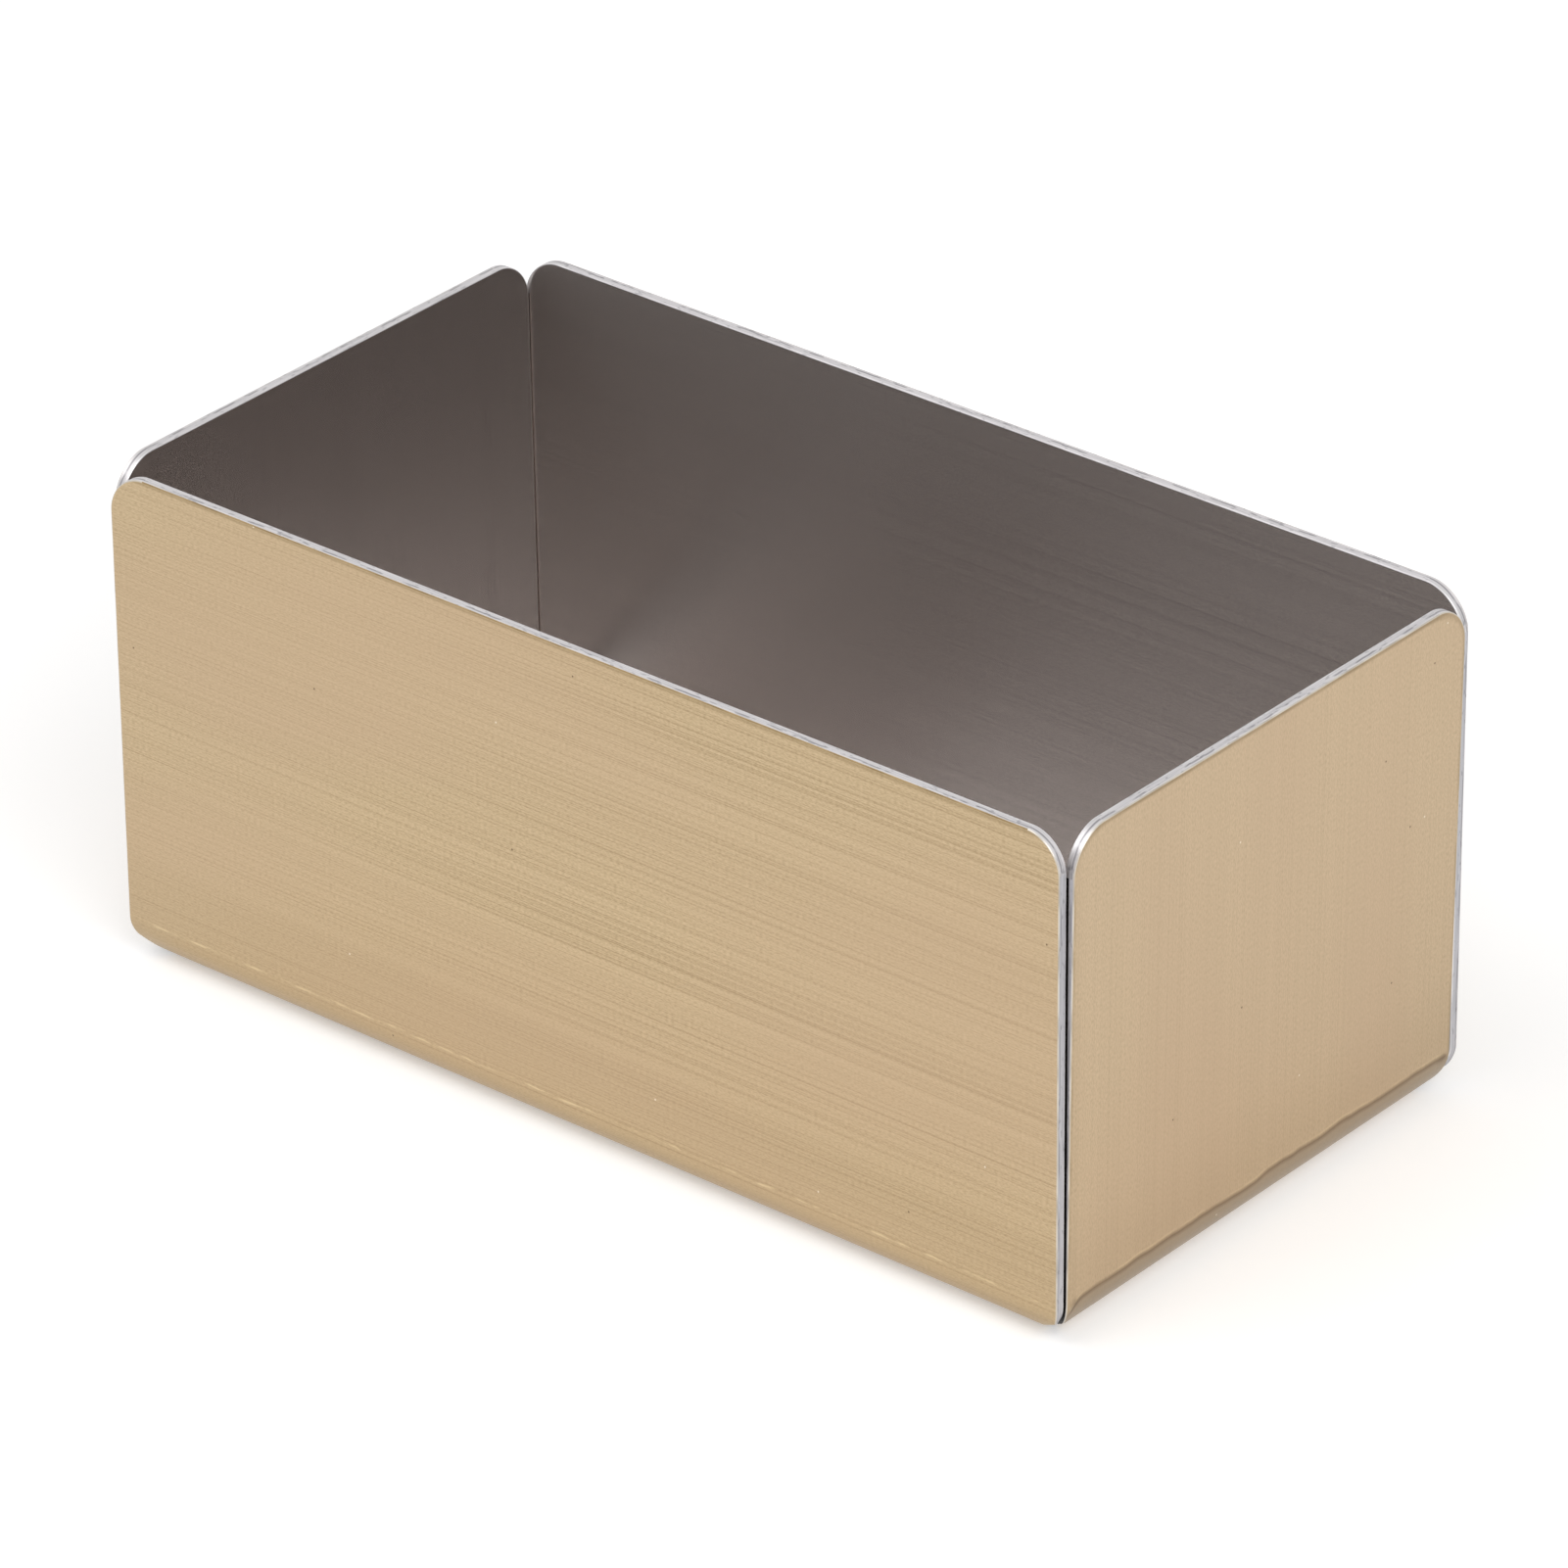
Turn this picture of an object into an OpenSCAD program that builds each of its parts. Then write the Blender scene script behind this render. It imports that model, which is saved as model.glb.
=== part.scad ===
// Sugar packet holder: an open box folded up from one cross-shaped blank of steel sheet.
// The sheet carries a gold finish on its outer face, and is bare brushed steel inside and on its cut edges.
// Millimetres. X runs along the length, Y across it with the front at -Y, Z up from the underside.
// The origin is the centre of the underside.

/* [Overall] */
// Length over the outer faces of the two end walls, at their foot
body_length = 130; // [90:1:200]
// Width over the outer faces of the front and back walls
body_width = 69; // [50:1:120]
// Height from the underside to the rim
body_height = 60; // [35:1:100]

/* [Sheet] */
// Thickness of the sheet, its finish included
sheet = 1.2; // [0.8:0.1:2]
// Thickness of the gold finish on the outer face
finish = 0.1; // [0.1:0.05:0.2]

/* [Folds] */
// Outer radius of the four bottom bends
bend_radius = 5; // [3.5:0.25:8]
// Angle in degrees by which each end wall has sprung back outwards from square
spring_back = 0.6; // [0:0.1:2]

/* [Corners] */
// Radius of the two upper corners of every wall
corner_radius = 5.3; // [2:0.1:10]
// Gap that keeps the end walls and their bends clear of the long walls
corner_gap = 0.3; // [0.2:0.05:0.6]
// Set-back of the long walls' ends from the outer faces of the end walls
end_setback = 0.16; // [0:0.02:0.5]
// Depth ground off the sharp tip of each bottom corner
tip_grind = 0.5; // [0.2:0.1:0.7]
// Angle round the bends, in degrees from the wall, at which the ground tip is centred
tip_angle = 50; // [40:1:60]

/* [Hidden] */
$fn = 96;
past = 1;
half_length = body_length / 2;
half_width = body_width / 2;
axis_x = half_length - bend_radius;
axis_y = half_width - bend_radius;
core_radius = bend_radius - finish;
inner_radius = bend_radius - sheet;
wall_height = body_height - bend_radius;
long_reach = half_length - end_setback;
end_reach = half_width - sheet - corner_gap;
seam_slope = (bend_radius - sheet - corner_gap / 2) / bend_radius;
tip_tilt = atan(sqrt(2) * tan(tip_angle));
tip_reach = bend_radius * sqrt((2 + 2 * pow(tan(tip_angle), 2)) / (1 + 2 * pow(tan(tip_angle), 2)));
tip_block = 2 * bend_radius;
steel_colour = "#B9B6B2";
gold_colour = "#C8B08C";

// Waste outside the rounded upper corner of a wall
module corner_waste() {
    difference() {
        square(corner_radius + past);
        circle(r = corner_radius);
    }
}

// Outline of a wall from its bend up to the rim
module wall_outline(reach) {
    difference() {
        translate([-reach, 0])
            square([2 * reach, wall_height]);
        translate([reach - corner_radius, wall_height - corner_radius])
            corner_waste();
        mirror([1, 0])
            translate([reach - corner_radius, wall_height - corner_radius])
                corner_waste();
    }
}

// Section of a bend about its own axis, from the floor round to a wall that leans out
module bend_section(outer, inner, lean) {
    intersection() {
        difference() {
            circle(r = outer);
            circle(r = inner);
        }
        polygon([
            [0, 0],
            [0, -2 * outer],
            [2 * outer, -2 * outer],
            [2 * outer, -2 * outer * tan(lean)]
        ]);
    }
}

// Layer of the front wall, a depth below its outer face
module long_wall(depth, thick) {
    translate([0, depth + thick - half_width, bend_radius])
        rotate([90, 0, 0])
            linear_extrude(height = thick)
                wall_outline(long_reach);
}

// Layer of the right end wall, turned out about the axis of its bend
module end_wall(depth, thick) {
    translate([axis_x, 0, bend_radius])
        rotate([0, spring_back, 0])
            translate([bend_radius - depth - thick, 0, 0])
                rotate([90, 0, 90])
                    linear_extrude(height = thick)
                        wall_outline(end_reach);
}

// Plan of what the front bend may fill at its two ends
module long_seam_plan() {
    outer_y = sheet - past * seam_slope - half_width;
    inner_x = half_length - (bend_radius + past - sheet) / seam_slope;
    polygon([
        [-half_length - past, -half_width - past],
        [half_length + past, -half_width - past],
        [half_length + past, outer_y],
        [inner_x, past - axis_y],
        [-inner_x, past - axis_y],
        [-half_length - past, outer_y]
    ]);
}

// Plan of what the right bend may fill at its two ends
module end_seam_plan() {
    outer_y = end_reach + past * seam_slope;
    inner_y = axis_y - corner_gap / 2 - past * seam_slope;
    polygon([
        [axis_x - past, -inner_y],
        [half_length + past, -outer_y],
        [half_length + past, outer_y],
        [axis_x - past, inner_y]
    ]);
}

// Side view of the end bends, which the ends of the long bends follow
module end_profile() {
    run = axis_x - end_setback;
    translate([-run, 0])
        square([2 * run, bend_radius]);
    translate([run, bend_radius])
        circle(r = bend_radius);
    translate([-run, bend_radius])
        circle(r = bend_radius);
}

// Metal beyond the ground tip of the front right bottom corner
module tip_waste() {
    translate([axis_x, -axis_y, bend_radius])
        rotate([0, 90 + tip_tilt, -45])
            translate([-tip_block / 2, -tip_block / 2, tip_reach - tip_grind])
                cube([tip_block, tip_block, tip_block]);
}

// The same at all four corners
module four_tips() {
    tip_waste();
    mirror([1, 0, 0])
        tip_waste();
    mirror([0, 1, 0])
        tip_waste();
    mirror([1, 0, 0])
        mirror([0, 1, 0])
            tip_waste();
}

// Layer of the front bend between two radii
module long_bend(outer, inner) {
    difference() {
        intersection() {
            translate([0, -axis_y, bend_radius])
                mirror([0, 1, 0])
                    rotate([90, 0, 90])
                        linear_extrude(height = 2 * long_reach, center = true)
                            bend_section(outer, inner, 0);
            rotate([90, 0, 0])
                linear_extrude(height = body_width + 2 * past, center = true)
                    end_profile();
            translate([0, 0, -past])
                linear_extrude(height = bend_radius + 2 * past)
                    long_seam_plan();
        }
        four_tips();
    }
}

// Layer of the right bend between two radii
module end_bend(outer, inner) {
    difference() {
        intersection() {
            translate([axis_x, 0, bend_radius])
                rotate([90, 0, 0])
                    linear_extrude(height = 2 * end_reach, center = true)
                        bend_section(outer, inner, spring_back);
            translate([0, 0, -past])
                linear_extrude(height = bend_radius + 2 * past)
                    end_seam_plan();
        }
        four_tips();
    }
}

// Layer of the flat floor between two heights
module floor_layer(low, high) {
    translate([-axis_x, -axis_y, low])
        cube([2 * axis_x, 2 * axis_y, high - low]);
}

// Steel of the flat floor between the four bend lines
module floor_panel() {
    color(steel_colour)
        floor_layer(finish, sheet);
}

// Steel of the long front wall
module front_wall() {
    color(steel_colour)
        long_wall(finish, sheet - finish);
}

// Steel of the long back wall
module back_wall() {
    color(steel_colour)
        mirror([0, 1, 0])
            long_wall(finish, sheet - finish);
}

// Steel of the left end wall
module left_wall() {
    color(steel_colour)
        mirror([1, 0, 0])
            end_wall(finish, sheet - finish);
}

// Steel of the right end wall
module right_wall() {
    color(steel_colour)
        end_wall(finish, sheet - finish);
}

// Steel of the bend between floor and front wall
module front_bend() {
    color(steel_colour)
        long_bend(core_radius, inner_radius);
}

// Steel of the bend between floor and back wall
module back_bend() {
    color(steel_colour)
        mirror([0, 1, 0])
            long_bend(core_radius, inner_radius);
}

// Steel of the bend between floor and left end wall
module left_bend() {
    color(steel_colour)
        mirror([1, 0, 0])
            end_bend(core_radius, inner_radius);
}

// Steel of the bend between floor and right end wall
module right_bend() {
    color(steel_colour)
        end_bend(core_radius, inner_radius);
}

// Gold finish under the floor, on which the holder stands
module floor_finish() {
    color(gold_colour)
        floor_layer(0, finish);
}

// Gold finish on the outer face of the front wall
module front_wall_finish() {
    color(gold_colour)
        long_wall(0, finish);
}

// Gold finish on the outer face of the back wall
module back_wall_finish() {
    color(gold_colour)
        mirror([0, 1, 0])
            long_wall(0, finish);
}

// Gold finish on the outer face of the left end wall
module left_wall_finish() {
    color(gold_colour)
        mirror([1, 0, 0])
            end_wall(0, finish);
}

// Gold finish on the outer face of the right end wall
module right_wall_finish() {
    color(gold_colour)
        end_wall(0, finish);
}

// Gold finish round the front bend
module front_bend_finish() {
    color(gold_colour)
        long_bend(bend_radius, core_radius);
}

// Gold finish round the back bend
module back_bend_finish() {
    color(gold_colour)
        mirror([0, 1, 0])
            long_bend(bend_radius, core_radius);
}

// Gold finish round the left bend
module left_bend_finish() {
    color(gold_colour)
        mirror([1, 0, 0])
            end_bend(bend_radius, core_radius);
}

// Gold finish round the right bend
module right_bend_finish() {
    color(gold_colour)
        end_bend(bend_radius, core_radius);
}

floor_panel();
front_wall();
back_wall();
left_wall();
right_wall();
front_bend();
back_bend();
left_bend();
right_bend();
floor_finish();
front_wall_finish();
back_wall_finish();
left_wall_finish();
right_wall_finish();
front_bend_finish();
back_bend_finish();
left_bend_finish();
right_bend_finish();
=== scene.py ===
"""Sugar packet holder: an open box folded up from one blank of steel sheet.

The sheet is gold outside and bare brushed steel inside. Each wall with its bend is one leaf of the blank,
and every leaf is made as two layers, the steel and the gold skin on it.
"""

import logging
import math
from dataclasses import dataclass
from enum import Enum

import bpy
import numpy as np
from mathutils import Matrix, Vector


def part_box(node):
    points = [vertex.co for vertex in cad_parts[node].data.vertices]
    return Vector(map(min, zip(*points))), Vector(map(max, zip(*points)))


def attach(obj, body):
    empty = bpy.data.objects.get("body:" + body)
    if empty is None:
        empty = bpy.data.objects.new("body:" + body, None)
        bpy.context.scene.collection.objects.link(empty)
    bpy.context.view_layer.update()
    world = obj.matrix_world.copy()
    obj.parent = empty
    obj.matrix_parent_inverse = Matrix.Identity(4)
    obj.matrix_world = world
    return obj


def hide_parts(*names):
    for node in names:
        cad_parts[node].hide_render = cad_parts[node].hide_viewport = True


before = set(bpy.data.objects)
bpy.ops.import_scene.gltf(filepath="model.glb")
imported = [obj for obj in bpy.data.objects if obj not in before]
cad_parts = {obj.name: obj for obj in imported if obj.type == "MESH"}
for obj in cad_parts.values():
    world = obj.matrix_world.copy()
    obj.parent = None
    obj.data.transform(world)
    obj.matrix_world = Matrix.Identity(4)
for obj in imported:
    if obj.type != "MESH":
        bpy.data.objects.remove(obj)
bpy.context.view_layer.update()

LOG = logging.getLogger("sugar_packet_holder")
MM = 0.001
BODY = "root"
FLAT_MAP = "flat_blank"
LEAF_MAP = "leaf_height"
EDGE_MAP = "edge_margin"
SHARP_ANGLE = math.radians(40)
WHITE = (1.0, 1.0, 1.0, 1.0)
# Angles round a deburred edge at which it gets a ring of points
EDGE_ANGLES = np.radians([0, 25, 45, 65])
# Material slots of a piece: its faces, its rim and its ends
FACE_SLOT, RIM_SLOT, END_SLOT = range(3)

Sockets = dict[str | int, bpy.types.NodeSocket]


class Layer(Enum):
    """The two layers of the sheet, by the record's material slots."""

    STEEL = "bare_steel"
    GOLD = "gold_finish"

    @property
    def word(self) -> str:
        """The layer's name in one plain word."""
        return self.name.lower()

    @property
    def ending(self) -> str:
        """What the names of this layer's CAD nodes end with."""
        return "_finish" if self is Layer.GOLD else ""


class Side(Enum):
    """The four leaves of the blank, by the quarter turns from the front one."""

    FRONT = 0
    RIGHT = 1
    BACK = 2
    LEFT = 3

    @property
    def word(self) -> str:
        """The side's name in one plain word."""
        return self.name.lower()

    @property
    def is_long(self) -> bool:
        """Whether the leaf runs along the length of the box."""
        return self in (Side.FRONT, Side.BACK)

    def turned(self, along: np.ndarray, outward: np.ndarray) -> tuple[np.ndarray, np.ndarray]:
        """Turns a place on a leaf to the X and Y of the box.

        Args:
            along: distance along the fold line.
            outward: distance outwards from the middle of the box.

        Returns:
            X and Y. The front leaf's along is X and its outward -Y, and each quarter turn carries them on.
        """
        cos, sin = ((1, 0), (0, 1), (-1, 0), (0, -1))[self.value]
        return cos * along + sin * outward, sin * along - cos * outward


def linear(code: str) -> tuple[float, float, float, float]:
    """Turns an sRGB hex colour to linear red, green, blue and alpha.

    Args:
        code: six hex digits after a hash sign.

    Returns:
        The four linear values.
    """
    parts = np.array([int(code[i:i + 2], 16) for i in (1, 3, 5)]) / 255
    low = parts / 12.92
    high = ((parts + 0.055) / 1.055) ** 2.4
    return (*np.where(parts <= 0.04045, low, high).tolist(), 1.0)


def add(tree: bpy.types.NodeTree, kind: str, links: Sockets | None = None,
        values: dict[str | int, object] | None = None, **settings: object) -> bpy.types.Node:
    """Adds one node with its settings, socket values and links.

    Args:
        tree: the node tree that gets the node.
        kind: the node's type name.
        links: output sockets to join, by the input that each goes to.
        values: plain values, by the input that each is set on.
        settings: the node's own properties.

    Returns:
        The new node.
    """
    node = tree.nodes.new(kind)
    for name, value in settings.items():
        setattr(node, name, value)
    for socket, value in (values or {}).items():
        node.inputs[socket].default_value = value
    for socket, source in (links or {}).items():
        tree.links.new(source, node.inputs[socket])
    return node


def empty_material(name: str) -> tuple[bpy.types.Material, bpy.types.NodeTree]:
    """Makes a material with no nodes yet.

    Args:
        name: the finish, by its material and how it was made.

    Returns:
        The material and its node tree.
    """
    made = bpy.data.materials.new(name)
    made.use_nodes = True
    made.node_tree.nodes.clear()
    return made, made.node_tree


@dataclass(frozen=True)
class Hairline:
    """One family of brush lines: a line's size, and the noise levels between which it comes into view."""

    length: float
    width: float
    share: float
    low: float
    high: float
    detail: float = 1.0
    shift: float = 0.25

    def darkness(self, tree: bpy.types.NodeTree, place: bpy.types.NodeSocket) -> bpy.types.NodeSocket:
        """Noise drawn out along the grain, and shifted so that no line fades in the middle of the sheet.

        Args:
            tree: the material's node tree.
            place: place on the sheet in metres, with the grain along U.

        Returns:
            The socket that carries the value, from nought between the lines to their share on them.
        """
        scale = (1 / self.length, 1 / self.width, 0)
        scaled = add(tree, "ShaderNodeVectorMath", {0: place}, {1: scale, 2: (self.shift, 0, 0)},
                     operation="MULTIPLY_ADD")
        noise = add(tree, "ShaderNodeTexNoise", {"Vector": scaled.outputs[0]},
                    {"Scale": 1.0, "Detail": self.detail}, noise_dimensions="2D")
        return add(tree, "ShaderNodeMapRange", {"Value": noise.outputs[0]},
                   {"From Min": self.low, "From Max": self.high, "To Max": self.share}).outputs["Result"]


@dataclass(frozen=True)
class Stripe:
    """A mark that runs along a bend or an edge: its colour, its height, its width and how it breaks up."""

    colour: str
    height: float
    half_width: float
    softness: float
    strength: float
    uv_map: str = LEAF_MAP
    half_length: float = 1.0
    start: float = -1.0
    slope: float = 0.0
    droop: float = 0.0
    droop_power: float = 60.0
    wave: float = 0.0
    wave_length: float = 7 * MM
    breaks: tuple[float, float] = (0.0, 0.01)
    break_size: tuple[float, float] = (3 * MM, 1 * MM)

    def mask(self, tree: bpy.types.NodeTree) -> bpy.types.NodeSocket:
        """How much of the stripe shows.

        Args:
            tree: the material's node tree.

        Returns:
            The socket that carries the value. It falls off with the distance from the stripe's middle line,
            which waves, slopes and droops at its first end. It also falls off before the stripe's start and
            past its ends, and drops out where noise is low. The droop grows with a high power of the way
            back, which is one at the first end and nought at the last.
        """
        place = add(tree, "ShaderNodeUVMap", uv_map=self.uv_map).outputs[0]
        axes = add(tree, "ShaderNodeSeparateXYZ", {0: place})
        along, across = axes.outputs[0], axes.outputs[1]
        turns = add(tree, "ShaderNodeMath", {0: along}, {1: 1 / self.wave_length}, operation="MULTIPLY")
        noise = add(tree, "ShaderNodeTexNoise", {"W": turns.outputs[0]}, {"Scale": 1.0},
                    noise_dimensions="1D")
        middle = add(tree, "ShaderNodeMapRange", {"Value": noise.outputs[0]},
                     {"To Min": self.height - self.wave, "To Max": self.height + self.wave})
        rise = add(tree, "ShaderNodeMath", {0: along, 2: middle.outputs["Result"]}, {1: self.slope},
                   operation="MULTIPLY_ADD")
        way_back = add(tree, "ShaderNodeMath", {0: along}, {1: -0.5 / self.half_length, 2: 0.5},
                       operation="MULTIPLY_ADD")
        near_end = add(tree, "ShaderNodeMath", {0: way_back.outputs[0]}, {1: self.droop_power},
                       operation="POWER")
        bent = add(tree, "ShaderNodeMath", {0: near_end.outputs[0], 2: across}, {1: self.droop},
                   operation="MULTIPLY_ADD")
        off = add(tree, "ShaderNodeMath", {0: bent.outputs[0], 1: rise.outputs[0]}, operation="SUBTRACT")
        scale = (1 / self.break_size[0], 1 / self.break_size[1], 0)
        scaled = add(tree, "ShaderNodeVectorMath", {0: place}, {1: scale}, operation="MULTIPLY")
        broken = add(tree, "ShaderNodeTexNoise", {"Vector": scaled.outputs[0]}, {"Scale": 1.0},
                     noise_dimensions="2D")
        low, high = self.breaks
        shown = add(tree, "ShaderNodeMapRange", {"Value": broken.outputs[0]},
                    {"From Min": low, "From Max": high, "To Max": self.strength}).outputs["Result"]
        soft = self.softness
        for distance, none, full in ((off.outputs[0], self.half_width + soft, self.half_width - soft),
                                     (along, self.half_length + soft, self.half_length - soft),
                                     (along, self.start - soft, self.start + soft)):
            away = add(tree, "ShaderNodeMath", {0: distance}, operation="ABSOLUTE")
            inside = add(tree, "ShaderNodeMapRange", {"Value": away.outputs[0]},
                         {"From Min": none, "From Max": full})
            shown = add(tree, "ShaderNodeMath", {0: shown, 1: inside.outputs["Result"]},
                        operation="MULTIPLY").outputs[0]
        return shown


@dataclass(frozen=True)
class Specks:
    """Sparse dots, such as dust and tiny chips: a dot's size, the spacing of the cells and their share."""

    colour: str
    radius: float
    spacing: float
    share: float
    strength: float
    blur: float = 0.3

    def mask(self, tree: bpy.types.NodeTree) -> bpy.types.NodeSocket:
        """How much of a dot shows.

        Args:
            tree: the material's node tree.

        Returns:
            The socket that carries the value. Each cell has a dot at its point, with a blurred edge, and
            only a share of the cells show it.
        """
        place = add(tree, "ShaderNodeUVMap", uv_map=FLAT_MAP).outputs[0]
        cells = add(tree, "ShaderNodeTexVoronoi", {"Vector": place}, {"Scale": 1 / self.spacing},
                    voronoi_dimensions="2D")
        size = self.radius / self.spacing
        dot = add(tree, "ShaderNodeMapRange", {"Value": cells.outputs["Distance"]},
                  {"From Min": (1 + self.blur) * size, "From Max": (1 - self.blur) * size,
                   "To Max": self.strength})
        draw = add(tree, "ShaderNodeSeparateColor", {0: cells.outputs["Color"]})
        chosen = add(tree, "ShaderNodeMath", {0: draw.outputs[0]}, {1: self.share}, operation="LESS_THAN")
        return add(tree, "ShaderNodeMath", {0: dot.outputs["Result"], 1: chosen.outputs[0]},
                   operation="MULTIPLY").outputs[0]


@dataclass(frozen=True)
class Haze:
    """A slow drift of tint over the sheet: its colour, the size of a patch and how much of it shows."""

    colour: str
    size: tuple[float, float]
    strength: float
    low: float = 0.35
    high: float = 0.65

    def mask(self, tree: bpy.types.NodeTree) -> bpy.types.NodeSocket:
        """How much of the tint shows.

        Args:
            tree: the material's node tree.

        Returns:
            The socket that carries the value, from smooth noise of the patches' size.
        """
        place = add(tree, "ShaderNodeUVMap", uv_map=FLAT_MAP).outputs[0]
        scaled = add(tree, "ShaderNodeVectorMath", {0: place}, {1: (1 / self.size[0], 1 / self.size[1], 0)},
                     operation="MULTIPLY")
        noise = add(tree, "ShaderNodeTexNoise", {"Vector": scaled.outputs[0]}, {"Scale": 1.0, "Detail": 1.0},
                    noise_dimensions="2D")
        return add(tree, "ShaderNodeMapRange", {"Value": noise.outputs[0]},
                   {"From Min": self.low, "From Max": self.high, "To Max": self.strength}).outputs["Result"]


@dataclass(frozen=True)
class BrushedFinish:
    """Metal worked in one direction: fine broken lines that blur reflections across the grain.

    Its stretched highlights lie a quarter turn from the grain, and its lines sway a little over the sheet.
    """

    name: str
    dark: str
    light: str
    roughness: float
    lines: tuple[Hairline, ...]
    marks: tuple[Stripe | Specks | Haze, ...] = ()
    anisotropy: float = 0.6
    swing: float = 0.03
    groove: float = 0.004 * MM
    wander: float = 0.03 * MM
    sway: tuple[float, float] = (30 * MM, 9 * MM)
    bump_strength: float = 0.3
    highlight_turn: float = 0.25

    def material(self) -> bpy.types.Material:
        """Makes the material, with its lines along U of the flat blank, a little out of true."""
        made, tree = empty_material(self.name)
        place = add(tree, "ShaderNodeUVMap", uv_map=FLAT_MAP).outputs[0]
        slow = add(tree, "ShaderNodeVectorMath", {0: place}, {1: (1 / self.sway[0], 1 / self.sway[1], 0)},
                   operation="MULTIPLY")
        drift = add(tree, "ShaderNodeTexNoise", {"Vector": slow.outputs[0]},
                    {"Scale": 1.0, "Detail": 1.0}, noise_dimensions="2D")
        shift = add(tree, "ShaderNodeVectorMath", {0: drift.outputs["Color"]}, {1: (0, 2 * self.wander, 0)},
                    operation="MULTIPLY")
        swayed = add(tree, "ShaderNodeVectorMath", {0: place, 1: shift.outputs[0]},
                     operation="ADD").outputs[0]
        total = self.lines[0].darkness(tree, swayed)
        for line in self.lines[1:]:
            total = add(tree, "ShaderNodeMath", {0: total, 1: line.darkness(tree, swayed)}).outputs[0]
        level = add(tree, "ShaderNodeMath", {1: total}, {0: 1.0}, operation="SUBTRACT",
                    use_clamp=True).outputs[0]
        colour = add(tree, "ShaderNodeMix", {"Factor": level},
                     {"A": linear(self.dark), "B": linear(self.light)}, data_type="RGBA").outputs["Result"]
        for mark in self.marks:
            colour = add(tree, "ShaderNodeMix", {"Factor": mark.mask(tree), "A": colour},
                         {"B": linear(mark.colour)}, data_type="RGBA").outputs["Result"]
        rough = add(tree, "ShaderNodeMapRange", {"Value": level},
                    {"To Min": self.roughness + self.swing, "To Max": self.roughness})
        bump = add(tree, "ShaderNodeBump", {"Height": level},
                   {"Strength": self.bump_strength, "Distance": self.groove})
        tangent = add(tree, "ShaderNodeTangent", direction_type="UV_MAP", uv_map=FLAT_MAP)
        shader = add(tree, "ShaderNodeBsdfPrincipled",
                     {"Base Color": colour, "Roughness": rough.outputs["Result"],
                      "Normal": bump.outputs[0], "Tangent": tangent.outputs[0]},
                     {"Metallic": 1.0, "Anisotropic": self.anisotropy,
                      "Anisotropic Rotation": self.highlight_turn})
        add(tree, "ShaderNodeOutputMaterial", {"Surface": shader.outputs[0]})
        return made


@dataclass(frozen=True)
class Blank:
    """Sizes of the folded blank, in metres, read from the frame where it holds them."""

    axis_x: float
    axis_y: float
    half_width: float
    height: float
    sheet: float
    finish: float
    long_reach: float
    end_reach: float
    end_top: float
    corner_size: float = 4.8 * MM
    tight_corner_size: float = 4.1 * MM
    corner_power: float = 1.85
    edge_round: float = 0.12 * MM
    tip_grind: float = 0.5 * MM
    tip_angle: float = math.radians(50)
    left_closing: float = 0.2 * MM
    core_rings: int = 5

    @classmethod
    def measured(cls) -> "Blank":
        """Reads the sizes from the boxes of the CAD nodes."""
        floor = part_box("floor_panel")[1]
        front_low, front_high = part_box("front_wall_finish")
        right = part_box("right_wall_finish")[1]
        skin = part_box("floor_finish")[1]
        return cls(axis_x=floor.x, axis_y=floor.y, half_width=-front_low.y, height=front_high.z,
                   sheet=floor.z, finish=skin.z, long_reach=front_high.x, end_reach=right.y, end_top=right.x)

    @property
    def bend_radius(self) -> float:
        """Outer radius of the bends."""
        return self.half_width - self.axis_y

    @property
    def wall_height(self) -> float:
        """Height of a wall above its bend line."""
        return self.height - self.bend_radius

    @property
    def lean(self) -> float:
        """Angle by which the end walls lean out."""
        return math.asin((self.end_top - self.axis_x - self.bend_radius) / self.wall_height)

    def rings(self, layer: Layer) -> tuple[np.ndarray, np.ndarray]:
        """Depths of a layer's rings below the outer face, and how far the deburred edge draws each one in.

        Args:
            layer: the steel or the gold skin.

        Returns:
            Depths and insets. A ring that lies d from a face, less than the edge radius e, is drawn in by
            e - sqrt(e * e - (e - d) * (e - d)).
        """
        e = self.edge_round
        quarter = e * (1 - np.cos(EDGE_ANGLES))
        if layer is Layer.GOLD:
            depths = np.append(quarter, self.finish)
        else:
            core = np.linspace(2 * self.finish, self.sheet - e, self.core_rings)
            depths = np.concatenate([[self.finish], core, self.sheet - quarter[::-1]])
        near = np.minimum(depths, self.sheet - depths).clip(0, e)
        return depths, e - np.sqrt(e * e - (e - near) ** 2)


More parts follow.
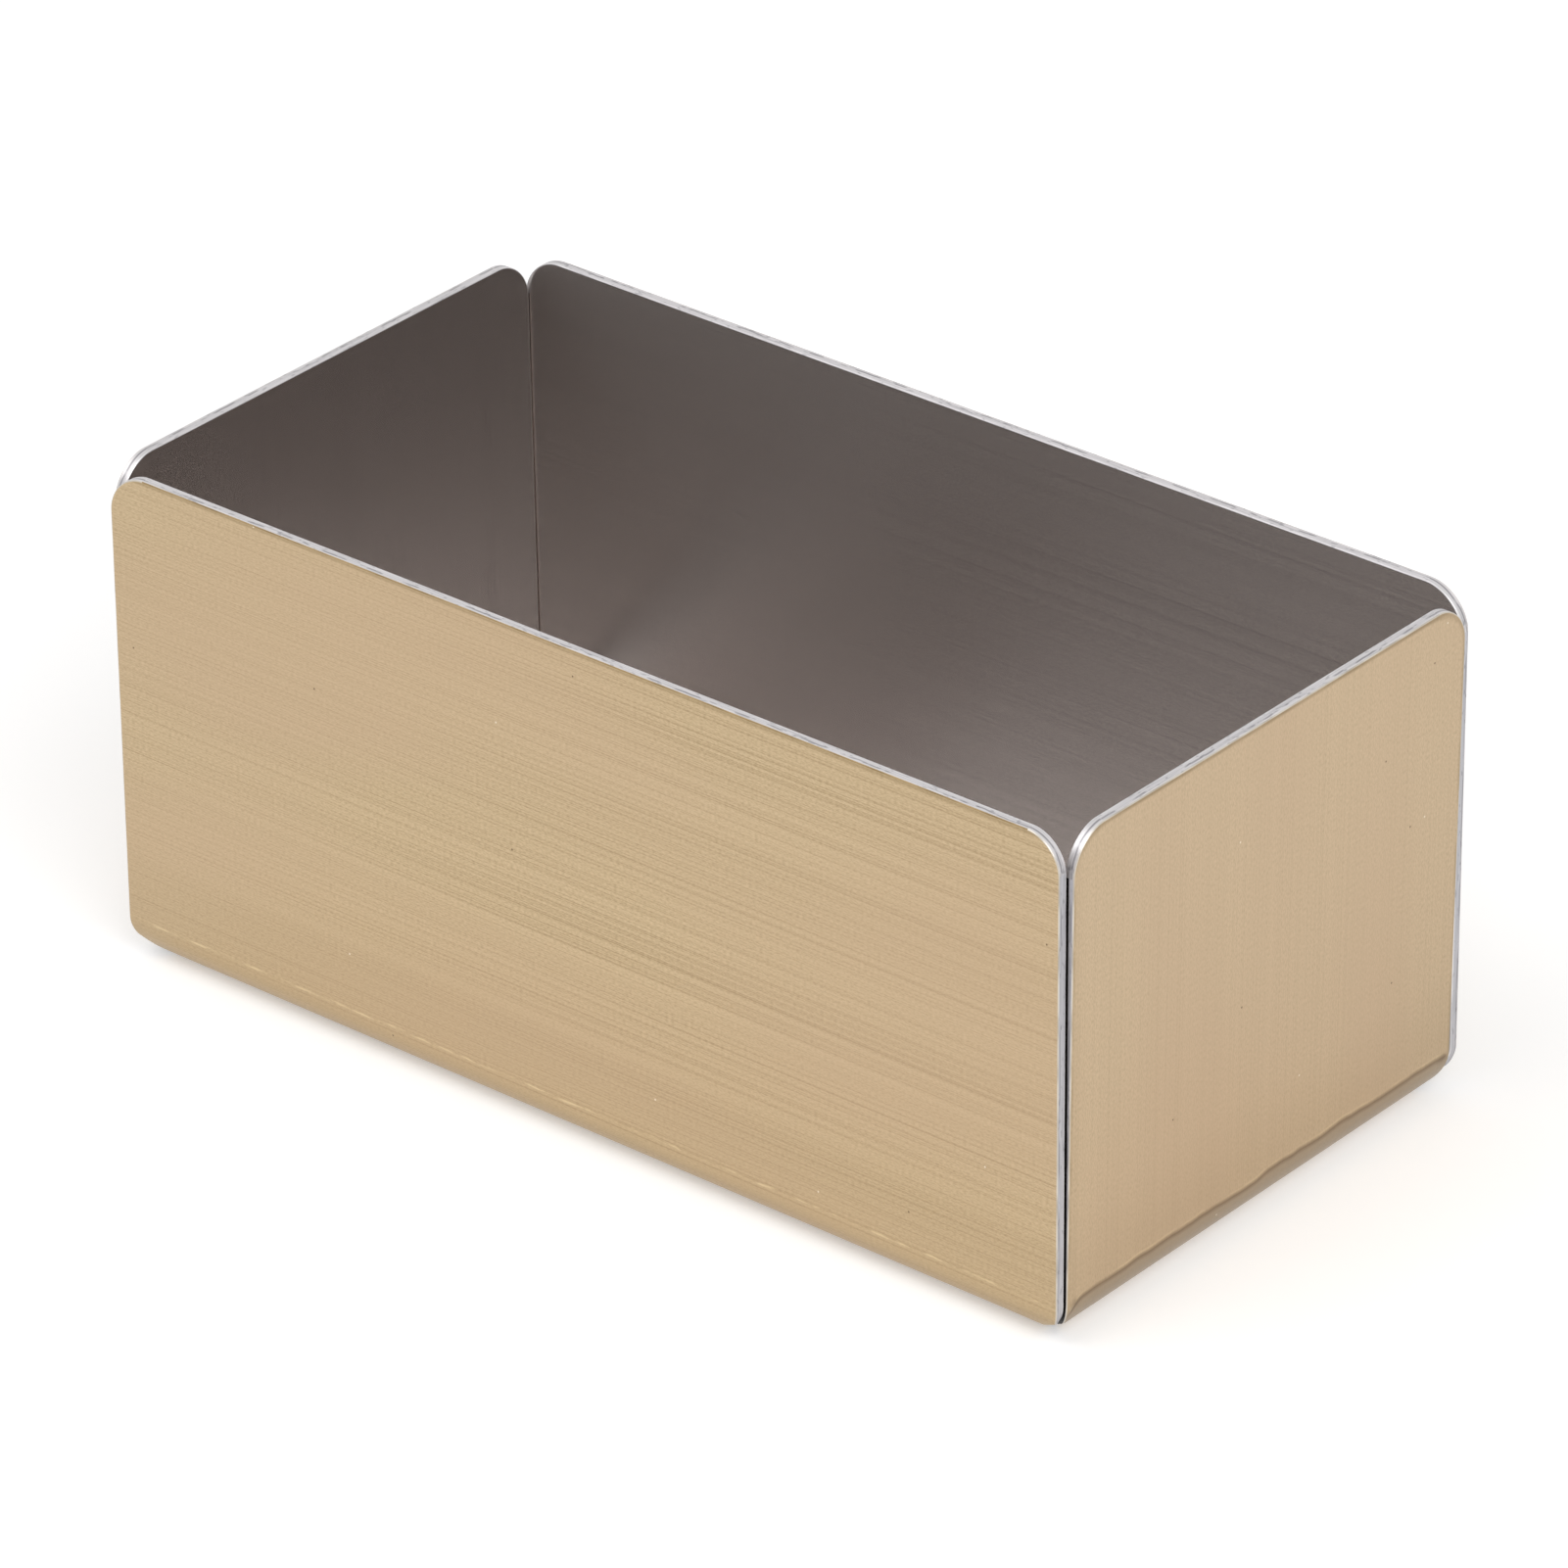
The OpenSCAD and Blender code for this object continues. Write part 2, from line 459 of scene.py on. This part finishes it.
@dataclass
class Lattice:
    """Points of a piece of sheet on a three-way grid: along it, up it and through its thickness."""

    points: np.ndarray
    flat: np.ndarray
    leaf: np.ndarray
    margin: np.ndarray
    depth: np.ndarray
    rim_rows: int = 0

    def piece(self, name: str) -> bpy.types.Object:
        """Closes the lattice into a mesh of its six outer sides.

        Args:
            name: the piece's name.

        Returns:
            The object, with its faces, its rim and its ends in their own material slots. The uppermost rows
            of the ends go with the rim.
        """
        index = np.arange(self.depth.size).reshape(self.depth.shape)
        edge_map = {axis: np.stack([self.leaf[..., 1 - axis], self.depth], -1) for axis in (0, 1)}
        quads, maps, slots = [], [], []
        for axis, kind in enumerate((END_SLOT, RIM_SLOT, FACE_SLOT)):
            flat = edge_map.get(axis, self.flat).reshape(-1, 2)
            for end in (0, -1):
                grid = np.take(index, end, axis=axis)
                grid = grid.T if (axis == 1) != (end == 0) else grid
                around = (grid[:-1, :-1], grid[1:, :-1], grid[1:, 1:], grid[:-1, 1:])
                side = np.stack(around, -1).reshape(-1, 4)
                quads.append(side)
                maps.append(flat[side])
                slot = np.full((grid.shape[0] - 1, grid.shape[1] - 1), kind)
                if kind == END_SLOT:
                    rows = slot if end else slot.T
                    rows[rows.shape[0] - self.rim_rows:] = RIM_SLOT
                slots.append(slot.ravel())
        quads, maps, slots = (np.concatenate(parts) for parts in (quads, maps, slots))
        heights = self.leaf.reshape(-1, 2)[quads]
        margins = np.stack([self.leaf.sum(-1), self.margin], -1).reshape(-1, 2)[quads]
        used, corners = np.unique(quads, return_inverse=True)
        corners = corners.reshape(quads.shape)
        points = self.points.reshape(-1, 3)[used]
        if self.volume(points, corners) < 0:
            corners, maps, heights, margins = (part[:, ::-1] for part in (corners, maps, heights, margins))
        mesh = bpy.data.meshes.new(name)
        mesh.from_pydata(points.tolist(), [], corners.tolist())
        for layer, places in ((FLAT_MAP, maps), (LEAF_MAP, heights), (EDGE_MAP, margins)):
            made = mesh.uv_layers.new(name=layer)
            made.uv.foreach_set("vector", places.astype(np.float32).ravel())
        mesh.polygons.foreach_set("material_index", slots.astype(np.int32))
        mesh.polygons.foreach_set("use_smooth", np.ones(len(slots), bool))
        mesh.set_sharp_from_angle(angle=SHARP_ANGLE)
        mesh.update()
        made = bpy.data.objects.new(name, mesh)
        bpy.context.scene.collection.objects.link(made)
        return made

    @staticmethod
    def volume(points: np.ndarray, quads: np.ndarray) -> float:
        """Six times the volume inside the quads, which is negative where they face inwards."""
        a, b, c, d = (points[quads[:, i]] for i in range(4))
        return float((np.cross(a, b) * c).sum() + (np.cross(a, c) * d).sum())


@dataclass
class Leaf:
    """One wall of the box with the bend below it, in one of its two layers."""

    blank: Blank
    side: Side
    layer: Layer
    bend_steps: int = 24
    wall_steps: int = 10
    arc_steps: int = 16
    columns: int = 15
    support: float = 0.3 * MM
    closing_power: int = 6

    @property
    def name(self) -> str:
        """The piece's name."""
        return f"{self.side.word}_leaf_{self.layer.word}"

    @property
    def nodes(self) -> tuple[str, str]:
        """The CAD nodes that the leaf stands for."""
        return f"{self.side.word}_wall{self.layer.ending}", f"{self.side.word}_bend{self.layer.ending}"

    @property
    def fold(self) -> float:
        """Angle through which the leaf is folded up from the floor."""
        return math.pi / 2 - (0 if self.side.is_long else self.blank.lean)

    @property
    def reach(self) -> float:
        """Half the length of the wall."""
        return self.blank.long_reach if self.side.is_long else self.blank.end_reach + self.closing

    @property
    def closing(self) -> float:
        """How much nearer to the long walls the left wall comes, because its folds shut tighter."""
        return self.blank.left_closing if self.side is Side.LEFT else 0.0

    @property
    def corner_sizes(self) -> tuple[float, float]:
        """Sizes of the wall's two upper corners, of which the front wall's right one was ground off less."""
        b = self.blank
        return b.corner_size, b.tight_corner_size if self.side is Side.FRONT else b.corner_size

    def bend_reach(self, turn: np.ndarray, depth: np.ndarray) -> np.ndarray:
        """Half the length of the bend, which is mitred to its neighbours and has its tips ground off.

        Args:
            turn: angle folded so far, from the floor.
            depth: depth below the outer face.

        Returns:
            The smaller of two reaches. The mitre is reach - slope * R * (1 - sin turn), where the closing
            comes in with a high power of the turn. The ground tip lies on a plane across the corner,
            level * across + level * outward + down * below = distance from the bends' axes.
        """
        b = self.blank
        radius = b.bend_radius
        axis = b.axis_x if self.side.is_long else b.axis_y
        gap = b.half_width - b.sheet - b.end_reach
        slope = 1.0 if self.side.is_long else (radius - b.sheet - gap / 2) / radius
        still_open = self.closing * (1 - (turn / self.fold) ** self.closing_power)
        mitre = self.reach - slope * radius * (1 - np.sin(turn)) - still_open
        tilt = math.atan(math.sqrt(2) * math.tan(b.tip_angle))
        level, down = math.cos(tilt) / math.sqrt(2), math.sin(tilt)
        sharp = radius * (2 * level * math.cos(b.tip_angle) + down * math.sin(b.tip_angle))
        inside = (radius - depth) * (level * np.sin(turn) + down * np.cos(turn))
        return np.minimum(mitre, axis + (sharp - b.tip_grind - inside) / level)

    def lattice(self) -> Lattice:
        """Works out the leaf's points on its grid.

        Returns:
            The lattice. A row lies at a turn round the bend, a share of the climb up the wall and a sweep
            round the upper corner. At depth d a point is axis + (R - d) sin turn + w cos turn outwards and
            R - (R - d) cos turn + w sin turn up, with w the height up the wall, and its row reaches
            reach - r + (r - inset) cos sweep along it. The corner size r passes evenly from the one at one
            end to the one at the other. At the corner sine and cosine are raised to 2 / p, for a hand-ground
            form that is flatter than an arc in its middle: the sum of the p-th powers of its two sides is
            constant.
        """
        b = self.blank
        radius, power = b.bend_radius, b.corner_power
        edge = self.support / self.reach
        across = np.concatenate([[-1], np.linspace(edge - 1, 1 - edge, self.columns), [1]])[:, None, None]
        corner = np.interp(across, (-1, 1), self.corner_sizes)
        straight = b.wall_height - corner
        bend = np.linspace(0, self.fold, self.bend_steps)[:-1]
        wall = np.linspace(self.support / b.wall_height, 1, self.wall_steps)
        arc = np.linspace(0, math.pi / 2, self.arc_steps)[1:]
        turn = np.concatenate([bend, np.full(1 + wall.size + arc.size, self.fold)])
        climb = np.concatenate([np.zeros(bend.size + 1), wall, np.ones(arc.size)])
        sweep = np.concatenate([np.zeros(bend.size + 1 + wall.size), arc])
        depth, inset = b.rings(self.layer)
        turn, climb, sweep = (row[None, :, None] for row in (turn, climb, sweep))
        rise, run = (np.clip(part, 0, 1) ** (2 / power) for part in (np.sin(sweep), np.cos(sweep)))
        up_wall = climb * straight + (corner - inset) * rise
        side_end = np.where(turn < self.fold, self.bend_reach(turn, depth), self.reach)
        reach = side_end - inset - (corner - inset) * (1 - run)
        along = across * reach
        past_side, past_top = np.abs(along) - self.reach + corner, up_wall - straight
        straight_margin = np.minimum(side_end - np.abs(along), b.wall_height - up_wall)
        round_margin = corner - (np.abs(past_side) ** power + np.abs(past_top) ** power) ** (1 / power)
        margin = np.where((past_side > 0) & (past_top > 0), round_margin, straight_margin)
        axis = b.axis_y if self.side.is_long else b.axis_x
        shape = along.shape
        outward = axis + (radius - depth) * np.sin(turn) + up_wall * np.cos(turn)
        up = radius - (radius - depth) * np.cos(turn) + up_wall * np.sin(turn)
        height = np.broadcast_to(radius * turn + up_wall, shape)
        x, y = self.side.turned(along, np.broadcast_to(outward, shape))
        return Lattice(points=np.stack([x, y, np.broadcast_to(up, shape)], -1),
                       flat=np.stack(self.side.turned(along, axis + height), -1),
                       leaf=np.stack([along, height], -1), margin=margin,
                       depth=np.broadcast_to(depth, shape),
                       rim_rows=arc.size if self.layer is Layer.STEEL else 0)

    def build(self, *finishes: bpy.types.Material) -> bpy.types.Object:
        """Makes the leaf, gives it its finishes and puts it in place of its CAD nodes.

        Args:
            finishes: those of its faces, its rim and its ends.

        Returns:
            The piece.
        """
        return dress(self.lattice().piece(self.name), self.nodes, finishes)


@dataclass
class FloorPanel:
    """The flat floor between the four bend lines, in one of its two layers."""

    blank: Blank
    layer: Layer
    steps: int = 9

    @property
    def name(self) -> str:
        """The piece's name."""
        return f"floor_{self.layer.word}"

    @property
    def nodes(self) -> tuple[str, ...]:
        """The CAD node that the floor stands for."""
        return ("floor_finish" if self.layer is Layer.GOLD else "floor_panel",)

    def lattice(self) -> Lattice:
        """Works out the floor's points: a flat plate, with its two faces a layer's thickness apart."""
        b = self.blank
        depth = np.array([0, b.finish] if self.layer is Layer.GOLD else [b.finish, b.sheet])
        x, y, z = np.meshgrid(np.linspace(-b.axis_x, b.axis_x, self.steps),
                              np.linspace(-b.axis_y, b.axis_y, self.steps), depth, indexing="ij")
        return Lattice(points=np.stack([x, y, z], -1), flat=np.stack([x, y], -1),
                       leaf=np.stack([x, np.zeros_like(x)], -1), margin=np.ones_like(x), depth=z)

    def build(self, *finishes: bpy.types.Material) -> bpy.types.Object:
        """Makes the floor, gives it its finishes and puts it in place of its CAD node.

        Args:
            finishes: that of its faces, and two for its edges, which the bends hide.

        Returns:
            The piece.
        """
        return dress(self.lattice().piece(self.name), self.nodes, finishes)


def dress(piece: bpy.types.Object, nodes: tuple[str, ...],
          finishes: tuple[bpy.types.Material, ...]) -> bpy.types.Object:
    """Gives a piece its finishes, its body and the CAD nodes that it stands for.

    Args:
        piece: the new piece.
        nodes: the CAD nodes that it stands for.
        finishes: those of its faces, its rim and its ends.

    Returns:
        The piece.
    """
    for finish in finishes:
        piece.data.materials.append(finish)
    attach(piece, BODY)
    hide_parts(*nodes)
    LOG.info("%s stands for %s, %d faces", piece.name, ", ".join(nodes), len(piece.data.polygons))
    return piece


@dataclass(frozen=True)
class Softbox:
    """One large square lamp that looks at the holder."""

    name: str
    place: tuple[float, float, float]
    size: float
    power: float

    def build(self) -> bpy.types.Object:
        """Hangs the lamp in its place, turned to the origin."""
        lamp = bpy.data.lights.new(self.name, "AREA")
        lamp.energy = self.power
        lamp.size = self.size
        made = bpy.data.objects.new(self.name, lamp)
        made.location = self.place
        made.rotation_mode = "QUATERNION"
        made.rotation_quaternion = Vector(self.place).to_track_quat("Z", "Y")
        bpy.context.scene.collection.objects.link(made)
        return made


@dataclass
class Studio:
    """The camera, the pale floor and the soft light round the holder.

    The camera's place, angles and focal length were fitted to the edges of the box in the photograph.
    """

    eye: tuple[float, float, float] = (0.594912, -0.709180, 0.541781)
    azimuth: float = math.radians(39.9859)
    elevation: float = math.radians(28.9773)
    roll: float = math.radians(0.5186)
    focal_pixels: float = 10078.0
    frame_pixels: float = 1601.0
    sensor: float = 36.0
    floor_size: float = 4.0
    floor_drop: float = 0.02 * MM
    floor_colour: str = "#E6E6E6"
    floor_roughness: float = 0.9
    floor_glow: float = 0.33
    fill: float = 0.55
    lamps: tuple[Softbox, ...] = (
        Softbox("left_softbox", place=(-0.45, -0.60, 1.20), size=1.0, power=5.5),
        Softbox("right_softbox", place=(0.95, -0.45, 0.95), size=1.0, power=8.5),
    )

    def camera(self) -> bpy.types.Object:
        """Sets up the camera at the photograph's viewing angle."""
        az, el = self.azimuth, self.elevation
        back = Vector((math.sin(az) * math.cos(el), -math.cos(az) * math.cos(el), math.sin(el)))
        right = Vector((0, 0, 1)).cross(back).normalized()
        turn = Matrix((right, back.cross(right), back)).transposed().to_4x4()
        lens = bpy.data.cameras.new("camera")
        lens.sensor_width = self.sensor
        lens.lens = self.focal_pixels * self.sensor / self.frame_pixels
        made = bpy.data.objects.new("camera", lens)
        made.matrix_world = Matrix.Translation(self.eye) @ turn @ Matrix.Rotation(-self.roll, 4, "Z")
        bpy.context.scene.collection.objects.link(made)
        bpy.context.scene.camera = made
        return made

    def floor(self) -> bpy.types.Object:
        """Lays the pale floor, which glows a little, also in reflections, so that it reads as white."""
        half, low = self.floor_size / 2, -self.floor_drop
        corners = ((-half, -half, low), (half, -half, low), (half, half, low), (-half, half, low))
        mesh = bpy.data.meshes.new("table_top")
        mesh.from_pydata(corners, [], [(0, 1, 2, 3)])
        made, tree = empty_material("matt_white_table")
        seen = self.seen(tree)
        glow = add(tree, "ShaderNodeMath", {0: seen}, {1: self.floor_glow}, operation="MULTIPLY")
        shader = add(tree, "ShaderNodeBsdfPrincipled", {"Emission Strength": glow.outputs[0]},
                     {"Base Color": linear(self.floor_colour), "Roughness": self.floor_roughness,
                      "Specular IOR Level": 0.0, "Emission Color": WHITE})
        add(tree, "ShaderNodeOutputMaterial", {"Surface": shader.outputs[0]})
        mesh.materials.append(made)
        table = bpy.data.objects.new("table_top", mesh)
        bpy.context.scene.collection.objects.link(table)
        return table

    @staticmethod
    def seen(tree: bpy.types.NodeTree) -> bpy.types.NodeSocket:
        """One for rays from the camera, from gloss and through glass, and nought for the others."""
        path = add(tree, "ShaderNodeLightPath")
        total = add(tree, "ShaderNodeMath",
                    {0: path.outputs["Is Camera Ray"], 1: path.outputs["Is Glossy Ray"]}, operation="ADD")
        return add(tree, "ShaderNodeMath", {0: total.outputs[0], 1: path.outputs["Is Transmission Ray"]},
                   operation="ADD", use_clamp=True).outputs[0]

    def light(self) -> None:
        """Sets a white world that fills softly, and the softboxes."""
        world = bpy.data.worlds.new("white_studio")
        world.use_nodes = True
        tree = world.node_tree
        tree.nodes.clear()
        strength = add(tree, "ShaderNodeMapRange", {"Value": self.seen(tree)},
                       {"To Min": self.fill, "To Max": 1.0})
        back = add(tree, "ShaderNodeBackground", {"Strength": strength.outputs["Result"]}, {"Color": WHITE})
        add(tree, "ShaderNodeOutputWorld", {"Surface": back.outputs[0]})
        bpy.context.scene.world = world
        for lamp in self.lamps:
            lamp.build()

    def build(self) -> None:
        """Sets up the camera, the floor, the light and the plain view."""
        self.camera()
        self.floor()
        self.light()
        bpy.context.scene.view_settings.view_transform = "Standard"


# Gold tinted stainless steel sheet, brushed lengthways before it was folded: a warm satin with fine dark
# hairlines. The lines are drawn a little wider than the brush left them, so that they show
LONG_LINES = (
    Hairline(length=260 * MM, width=0.42 * MM, share=0.06, low=0.45, high=0.75),
    Hairline(length=260 * MM, width=0.24 * MM, share=0.19, low=0.45, high=0.75),
    Hairline(length=180 * MM, width=0.14 * MM, share=0.42, low=0.50, high=0.76),
    Hairline(length=50 * MM, width=0.14 * MM, share=0.10, low=0.50, high=0.76),
    Hairline(length=0.45 * MM, width=0.15 * MM, share=0.43, low=0.35, high=0.75),
    Hairline(length=200 * MM, width=5 * MM, share=0.06, low=0.30, high=0.70),
)
# Seen along the grain, as on the upright end walls, the same lines are fainter
END_LINES = (
    Hairline(length=260 * MM, width=0.24 * MM, share=0.13, low=0.45, high=0.75),
    Hairline(length=180 * MM, width=0.14 * MM, share=0.26, low=0.52, high=0.78),
    Hairline(length=0.45 * MM, width=0.15 * MM, share=0.55, low=0.35, high=0.75),
    Hairline(length=200 * MM, width=4 * MM, share=0.04, low=0.30, high=0.70),
)
# Dust and tiny chips, and the tint's drift over the sheet
DUST = (
    Specks("#5A4632", radius=0.11 * MM, spacing=9 * MM, share=0.12, strength=0.8),
    Specks("#F3E9D6", radius=0.11 * MM, spacing=11 * MM, share=0.10, strength=0.7),
)
DRIFT = (Haze("#C0A68A", size=(70 * MM, 26 * MM), strength=0.4),)
# Long walls: the tint is burnt to a dark line under the rim, and the tool rubbed a pale broken line where
# the bend begins. The wall's foot and the bend below it are darker: painted shade, for the shaded floor they
# reflect
LONG_MARKS_AND_PAINTED_SHADE = (
    Stripe("#86714C", height=62.55 * MM, half_width=0.12 * MM, softness=0.16 * MM, strength=0.5,
           wave=0.06 * MM),
    # Painted shade: the wall's foot darker, for the shaded floor that it reflects
    Stripe("#AC9678", height=10 * MM, half_width=1 * MM, softness=8 * MM, strength=0.5),
    # Painted shade: the bend darker, for the shaded floor near the foot that it reflects
    Stripe("#A58E69", height=5.2 * MM, half_width=2.2 * MM, softness=0.8 * MM, strength=0.25),
    Stripe("#E0CCA4", height=7.92 * MM, half_width=0.12 * MM, softness=0.10 * MM, strength=0.7,
           wave=0.25 * MM, breaks=(0.46, 0.66), break_size=(2.5 * MM, 0.4 * MM)),
)
# End walls: the dark line runs along every cut edge, and a dark line marks where the bend begins. The pale
# line just above it is a painted highlight. The bend below is a greyer band, and the wall's foot is darker:
# painted shade, for the shaded floor they reflect. The band's upper edge waves, and droops at its first end
BAND_EDGE = {"droop": 2 * MM, "wave": 0.7 * MM, "wave_length": 9 * MM}
END_MARKS_AND_PAINTED_LIGHT = (
    Stripe("#7C6846", height=0.24 * MM, half_width=0.14 * MM, softness=0.18 * MM, strength=0.45,
           uv_map=EDGE_MAP, wave=0.06 * MM, breaks=(0.30, 0.60), break_size=(6 * MM, 1 * MM)),
    Stripe("#7C6846", height=62.50 * MM, half_width=0.16 * MM, softness=0.22 * MM, strength=0.5,
           wave=0.06 * MM),
    # Painted shade: the wall's foot darker, for the shaded floor that it reflects
    Stripe("#AC9678", height=10 * MM, half_width=1 * MM, softness=8 * MM, strength=0.4),
    # Painted shade: the greyer band on the bend, for the shaded floor that it reflects
    Stripe("#9C8B75", height=5.3 * MM, half_width=2.4 * MM, softness=0.30 * MM, strength=0.8,
           half_length=33 * MM, **BAND_EDGE),
    Stripe("#6E5840", height=7.70 * MM, half_width=0.22 * MM, softness=0.26 * MM, strength=0.75,
           half_length=32.4 * MM, **BAND_EDGE),
    # Painted highlight: the pale line just above the crease
    Stripe("#D8C39C", height=8.24 * MM, half_width=0.09 * MM, softness=0.12 * MM, strength=0.5,
           half_length=32.4 * MM, breaks=(0.40, 0.60), break_size=(5 * MM, 2 * MM), **BAND_EDGE),
    Stripe("#7A6650", height=7.4 * MM, half_width=0.4 * MM, softness=0.5 * MM, strength=0.6,
           start=31.2 * MM, half_length=32.2 * MM),
)
GOLD_LONG = BrushedFinish("hairline_brushed_gold_tinted_steel_long", "#A28C6B", "#CCB694", 0.36, LONG_LINES,
                          DRIFT + LONG_MARKS_AND_PAINTED_SHADE + DUST)
GOLD_END = BrushedFinish("hairline_brushed_gold_tinted_steel_end", "#B09B7E", "#CAB394", 0.36, END_LINES,
                         DRIFT + END_MARKS_AND_PAINTED_LIGHT + DUST)
# Edges of the gold: a thin pale line, a painted highlight for the light that the rounded edge of the skin
# catches
EDGE_STREAKS = (Hairline(length=4 * MM, width=0.5 * MM, share=0.8, low=0.4, high=0.7),)
GOLD_EDGE = BrushedFinish("gold_edge_pale_painted_highlight", "#ACA396", "#D2CBBF", 0.35, EDGE_STREAKS)
# Rim of the long walls: the edge of the gold is burnt darker by the cut
GOLD_RIM = BrushedFinish("gold_tint_darkened_on_the_rim", "#7E6A48", "#A08A66", 0.40, EDGE_STREAKS)
# Bare stainless steel, brushed the same way: a cool grey that darkens as it reflects itself inside the box
STEEL_LINES = (
    Hairline(length=260 * MM, width=0.24 * MM, share=0.20, low=0.45, high=0.75),
    Hairline(length=120 * MM, width=0.15 * MM, share=0.36, low=0.50, high=0.76),
    Hairline(length=0.45 * MM, width=0.15 * MM, share=0.45, low=0.35, high=0.75),
    Hairline(length=200 * MM, width=4 * MM, share=0.06, low=0.30, high=0.70),
)
# The ends of the long walls' inner faces, behind the end walls, are paler: painted light, which the corner
# gaps reflect
LONG_ENDS_PAINTED_LIGHT = Stripe("#E4DEDB", height=30 * MM, half_width=40 * MM, softness=0.05 * MM, strength=0.4,
                  start=63.75 * MM)
STEEL_FACE = BrushedFinish("hairline_brushed_bare_steel", "#ADA7A4", "#C6C0BD", 0.27, STEEL_LINES,
                           (LONG_ENDS_PAINTED_LIGHT,), anisotropy=0.9, swing=0.0, groove=0.00005 * MM)
# Sheared and linished edge: mid grey with lines along it, with a dark line where the shear broke through and
# small nicks. The bright line at the inner arris is a painted highlight
EDGE_LINES = (
    Hairline(length=7 * MM, width=0.12 * MM, share=0.5, low=0.4, high=0.7),
    Hairline(length=1.2 * MM, width=0.4 * MM, share=0.7, low=0.66, high=0.74),
)
SHEAR_LINE = Stripe("#6E6C70", height=0.30 * MM, half_width=0.06 * MM, softness=0.05 * MM, strength=0.7,
                    uv_map=FLAT_MAP, wave=0.08 * MM, breaks=(0.35, 0.6), break_size=(5 * MM, 1 * MM))
NICKS = Specks("#55525A", radius=0.22 * MM, spacing=4 * MM, share=0.25, strength=0.7)
EDGE_SHEAR_AND_PAINTED_HIGHLIGHT = (
    SHEAR_LINE,
    # Painted highlight along the inner arris
    Stripe("#F4F2F2", height=1.10 * MM, half_width=0.08 * MM, softness=0.06 * MM, strength=0.8,
           uv_map=FLAT_MAP, breaks=(0.30, 0.55), break_size=(8 * MM, 1 * MM)),
    NICKS,
)
STEEL_EDGE = BrushedFinish("sheared_and_linished_steel_edge", "#9C9B9F", "#C2C1C5", 0.42, EDGE_LINES,
                           EDGE_SHEAR_AND_PAINTED_HIGHLIGHT, groove=0.002 * MM, wander=0.02 * MM)
# Rim of the walls, linished flat: a dark broken line of nicks down its middle. The bright lines along both
# arrises are painted highlights
RIM_NICKS_AND_PAINTED_HIGHLIGHTS = (
    Stripe("#4E4C52", height=0.45 * MM, half_width=0.10 * MM, softness=0.08 * MM, strength=0.6,
           uv_map=FLAT_MAP, wave=0.22 * MM, wave_length=4 * MM,
           breaks=(0.47, 0.60), break_size=(2.2 * MM, 1 * MM)),
    # Painted highlight along the inner arris
    Stripe("#EAE8E8", height=1.05 * MM, half_width=0.13 * MM, softness=0.08 * MM, strength=0.3,
           uv_map=FLAT_MAP, wave=0.06 * MM, breaks=(0.30, 0.60), break_size=(3.5 * MM, 1 * MM)),
    # Painted highlight along the outer arris
    Stripe("#E8E2DF", height=0.18 * MM, half_width=0.07 * MM, softness=0.05 * MM, strength=0.45,
           uv_map=FLAT_MAP, breaks=(0.40, 0.56), break_size=(4 * MM, 1 * MM)),
    NICKS,
)
STEEL_RIM = BrushedFinish("linished_steel_rim", "#9E9C9F", "#D3D0D1", 0.42, EDGE_LINES, RIM_NICKS_AND_PAINTED_HIGHLIGHTS,
                          groove=0.002 * MM, wander=0.02 * MM)
# Ends of the end walls, which stand in the corner gaps: a paler copy of the sheared edge, painted light for
# the gaps' shade. The bright line at the inner arris is a painted highlight, and the dark line near the
# outer one, which slants up the gap, is painted shade
GAP_SHEAR_AND_PAINTED_LIGHT = (
    SHEAR_LINE,
    # Painted highlight along the inner arris
    Stripe("#F6EAE4", height=1.10 * MM, half_width=0.16 * MM, softness=0.04 * MM, strength=1.0,
           uv_map=FLAT_MAP),
    # Painted shade: the dark line in the gap, which slants up it
    Stripe("#15110F", height=0.28 * MM, half_width=0.24 * MM, softness=0.06 * MM, strength=1.0,
           uv_map=FLAT_MAP, slope=0.0105),
)
# A paler copy of the sheared edge: painted light in the gaps
STEEL_GAP = BrushedFinish("dull_sheared_steel_edge", "#B4B2B5", "#D2D0D4", 0.5, EDGE_LINES, GAP_SHEAR_AND_PAINTED_LIGHT)


def main() -> None:
    """Builds the studio and the holder, piece by piece."""
    logging.basicConfig(level=logging.INFO, format="%(name)s: %(message)s")
    Studio().build()
    blank = Blank.measured()
    gold_long, gold_end = GOLD_LONG.material(), GOLD_END.material()
    gold_edge, gold_rim = GOLD_EDGE.material(), GOLD_RIM.material()
    steel, rim = STEEL_FACE.material(), STEEL_RIM.material()
    edge, gap = STEEL_EDGE.material(), STEEL_GAP.material()
    FloorPanel(blank, Layer.STEEL).build(steel, edge, edge)
    FloorPanel(blank, Layer.GOLD).build(gold_long, gold_edge, gold_edge)
    for side in Side:
        Leaf(blank, side, Layer.STEEL).build(steel, rim, edge if side.is_long else gap)
        skin = (gold_long, gold_rim, gold_edge) if side.is_long else (gold_end, gold_edge, gold_edge)
        Leaf(blank, side, Layer.GOLD).build(*skin)


if __name__ == "__main__":
    main()
